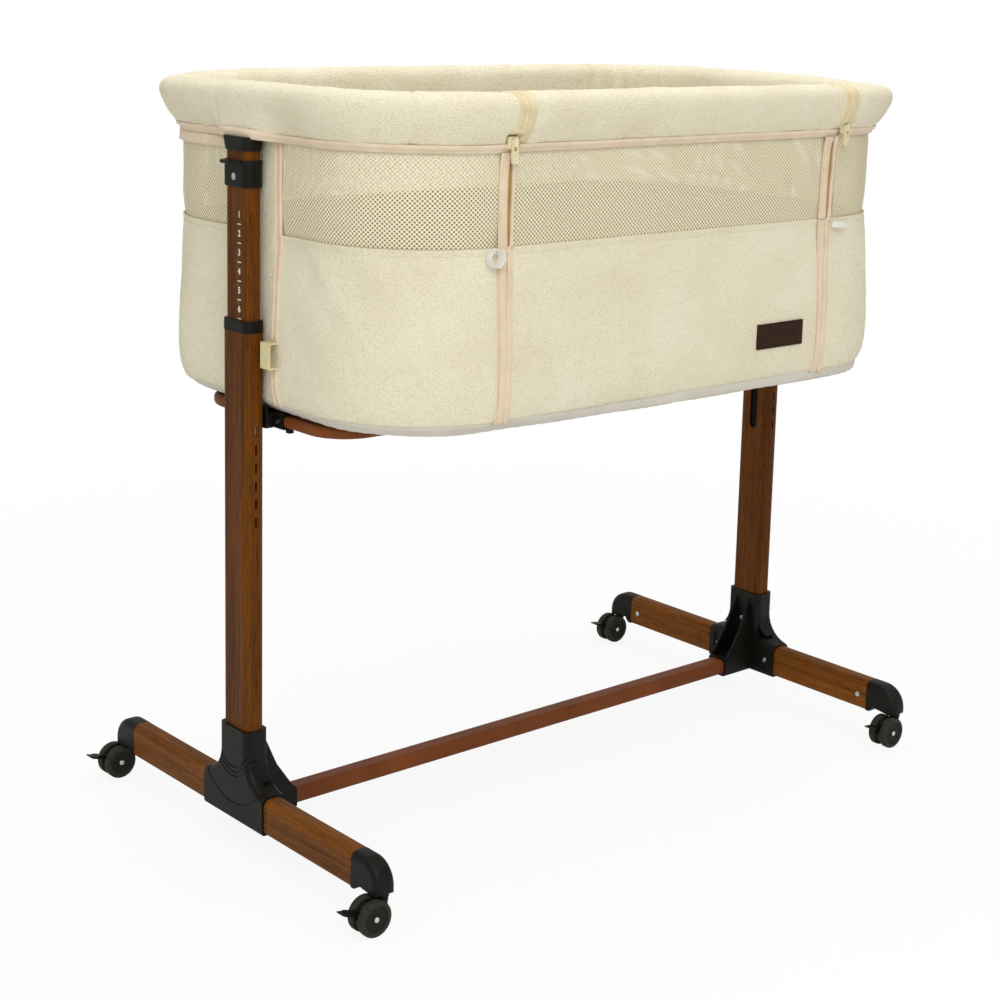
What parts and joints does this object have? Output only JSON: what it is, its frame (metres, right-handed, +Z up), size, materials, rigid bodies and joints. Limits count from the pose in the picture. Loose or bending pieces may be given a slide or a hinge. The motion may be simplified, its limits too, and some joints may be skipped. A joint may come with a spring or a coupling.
{
  "type": "bedside sleeper crib",
  "caption": "Bedside sleeper crib: padded basket with mesh sides and a zip-down front on a height-adjustable stand with two telescopic posts and swivel casters.",
  "frame": {"origin": "on the floor, below the middle of the crib's outline", "axes": "+X from the left post to the right post, along the length; +Y from the drop side to the back; +Z up"},
  "size_m": [0.9304, 0.5514, 0.87],
  "materials": {
    "walnut_tube": "walnut wood-grain print on round-edged steel tube, satin",
    "brown_steel": "brown powder coat",
    "black_plastic": "moulded, lightly grained",
    "steel": "zinc plated",
    "wheel_tread": "dark soft tread on a nylon hub",
    "cream_fabric": "cream looped boucle over foam",
    "mesh": "cream breathable net",
    "peach_tape": "pale peach woven tape",
    "white_fabric": "off-white woven cloth",
    "fibreboard": "plain board",
    "cream_plastic": "moulded nylon, cream",
    "leather": "dark brown, bare",
    "zip_metal": "ivory painted"
  },
  "bodies": {
    "stand": {"foot_bar_left": "walnut_tube", "outer_post_left": "walnut_tube", "tee_left": "black_plastic", "post_collar_left": "black_plastic", "foot_bar_right": "walnut_tube", "outer_post_right": "walnut_tube", "tee_right": "black_plastic", "post_collar_right": "black_plastic", "stretcher_bar": "brown_steel", "foot_cap_front_left": "black_plastic", "foot_cap_back_left": "black_plastic", "foot_cap_front_right": "black_plastic", "foot_cap_back_right": "black_plastic", "stand_screws": "steel"},
    "caster_front_left": {"caster_yoke_front_left": "black_plastic"},
    "wheels_front_left": {"caster_wheels_front_left": "wheel_tread"},
    "pedal_front_left": {"brake_pedal_front_left": "black_plastic"},
    "caster_back_left": {"caster_yoke_back_left": "black_plastic"},
    "wheels_back_left": {"caster_wheels_back_left": "wheel_tread"},
    "pedal_back_left": {"brake_pedal_back_left": "black_plastic"},
    "caster_front_right": {"caster_yoke_front_right": "black_plastic"},
    "wheels_front_right": {"caster_wheels_front_right": "wheel_tread"},
    "pedal_front_right": {"brake_pedal_front_right": "black_plastic"},
    "caster_back_right": {"caster_yoke_back_right": "black_plastic"},
    "wheels_back_right": {"caster_wheels_back_right": "wheel_tread"},
    "pedal_back_right": {"brake_pedal_back_right": "black_plastic"},
    "cradle": {"inner_post_left": "walnut_tube", "post_cap_left": "black_plastic", "frame_bracket_left": "black_plastic", "buckle_left": "cream_plastic", "inner_post_right": "walnut_tube", "post_cap_right": "black_plastic", "frame_bracket_right": "black_plastic", "buckle_right": "cream_plastic", "base_frame": "brown_steel", "top_rail": "steel", "bracket_screws": "steel", "rim_pad": "cream_fabric", "side_panel": "cream_fabric", "mesh_panels": "mesh", "rim_binding": "peach_tape", "zip_tapes": "peach_tape", "ribbon_loops": "white_fabric", "bottom_cover": "white_fabric", "mattress": "white_fabric", "base_board": "fibreboard", "label_patch": "leather"},
    "drop_side": {"drop_pad": "cream_fabric", "drop_mesh": "mesh", "drop_rail": "steel"},
    "release_left": {"release_handle_left": "black_plastic", "pull_rod_left": "steel"},
    "latch_left": {"latch_hook_left": "steel"},
    "zip_slider_left": {"zip_slider_left": "zip_metal"},
    "zip_pull_left": {"zip_pull_left": "zip_metal"},
    "release_right": {"release_handle_right": "black_plastic", "pull_rod_right": "steel"},
    "latch_right": {"latch_hook_right": "steel"},
    "zip_slider_right": {"zip_slider_right": "zip_metal"},
    "zip_pull_right": {"zip_pull_right": "zip_metal"}
  },
  "joints": [
    {"name": "cradle_height", "type": "slide", "parent": "stand", "child": "cradle", "axis": [0, 0, 1], "range_m": [-0.103, 0]},
    {"name": "drop_side_fold", "type": "hinge", "parent": "cradle", "child": "drop_side", "pos_m": [0.01525, -0.2485, 0.7085], "axis": [1, 0, 0], "range_deg": [0, 160]},
    {"name": "release_left_lift", "type": "slide", "parent": "cradle", "child": "release_left", "axis": [0, 0, 1], "range_m": [0, 0.009], "stiffness_N_per_m": 500, "springref_m": -0.012},
    {"name": "latch_left_draw", "type": "slide", "parent": "cradle", "child": "latch_left", "axis": [0, 1, 0], "range_m": [0, 0.0045]},
    {"name": "zip_left_travel", "type": "slide", "parent": "cradle", "child": "zip_slider_left", "axis": [0, -0.0446, 0.999], "range_m": [-0.1075, 0]},
    {"name": "zip_pull_left_swing", "type": "hinge", "parent": "zip_slider_left", "child": "zip_pull_left", "pos_m": [-0.24835, -0.2596, 0.8209], "axis": [1, 0, 0], "range_deg": [-110, 0]},
    {"name": "release_right_lift", "type": "slide", "parent": "cradle", "child": "release_right", "axis": [0, 0, 1], "range_m": [0, 0.009], "stiffness_N_per_m": 500, "springref_m": -0.012},
    {"name": "latch_right_draw", "type": "slide", "parent": "cradle", "child": "latch_right", "axis": [0, 1, 0], "range_m": [0, 0.0045]},
    {"name": "zip_right_travel", "type": "slide", "parent": "cradle", "child": "zip_slider_right", "axis": [0, -0.0446, 0.999], "range_m": [-0.1075, 0]},
    {"name": "zip_pull_right_swing", "type": "hinge", "parent": "zip_slider_right", "child": "zip_pull_right", "pos_m": [0.27885, -0.2596, 0.8209], "axis": [1, 0, 0], "range_deg": [-110, 0]},
    {"name": "swivel_front_left", "type": "hinge", "parent": "stand", "child": "caster_front_left", "pos_m": [-0.40975, -0.262, 0.04], "axis": [0, 0, 1], "continuous": true},
    {"name": "roll_front_left", "type": "hinge", "parent": "caster_front_left", "child": "wheels_front_left", "pos_m": [-0.42575, -0.262, 0.02], "axis": [0, 1, 0], "continuous": true},
    {"name": "brake_front_left", "type": "hinge", "parent": "caster_front_left", "child": "pedal_front_left", "pos_m": [-0.43825, -0.262, 0.026], "axis": [0, 1, 0], "range_deg": [-18, 0]},
    {"name": "swivel_back_left", "type": "hinge", "parent": "stand", "child": "caster_back_left", "pos_m": [-0.40975, 0.262, 0.04], "axis": [0, 0, 1], "continuous": true},
    {"name": "roll_back_left", "type": "hinge", "parent": "caster_back_left", "child": "wheels_back_left", "pos_m": [-0.42575, 0.262, 0.02], "axis": [0, 1, 0], "continuous": true},
    {"name": "brake_back_left", "type": "hinge", "parent": "caster_back_left", "child": "pedal_back_left", "pos_m": [-0.43825, 0.262, 0.026], "axis": [0, 1, 0], "range_deg": [-18, 0]},
    {"name": "swivel_front_right", "type": "hinge", "parent": "stand", "child": "caster_front_right", "pos_m": [0.44025, -0.262, 0.04], "axis": [0, 0, 1], "continuous": true},
    {"name": "roll_front_right", "type": "hinge", "parent": "caster_front_right", "child": "wheels_front_right", "pos_m": [0.42425, -0.262, 0.02], "axis": [0, 1, 0], "continuous": true},
    {"name": "brake_front_right", "type": "hinge", "parent": "caster_front_right", "child": "pedal_front_right", "pos_m": [0.41175, -0.262, 0.026], "axis": [0, 1, 0], "range_deg": [-18, 0]},
    {"name": "swivel_back_right", "type": "hinge", "parent": "stand", "child": "caster_back_right", "pos_m": [0.44025, 0.262, 0.04], "axis": [0, 0, 1], "continuous": true},
    {"name": "roll_back_right", "type": "hinge", "parent": "caster_back_right", "child": "wheels_back_right", "pos_m": [0.42425, 0.262, 0.02], "axis": [0, 1, 0], "continuous": true},
    {"name": "brake_back_right", "type": "hinge", "parent": "caster_back_right", "child": "pedal_back_right", "pos_m": [0.41175, 0.262, 0.026], "axis": [0, 1, 0], "range_deg": [-18, 0]}
  ],
  "couplings": [
    {"joint": "latch_left_draw", "follows": "release_left_lift", "ratio": 0.45},
    {"joint": "latch_right_draw", "follows": "release_right_lift", "ratio": 0.45}
  ]
}
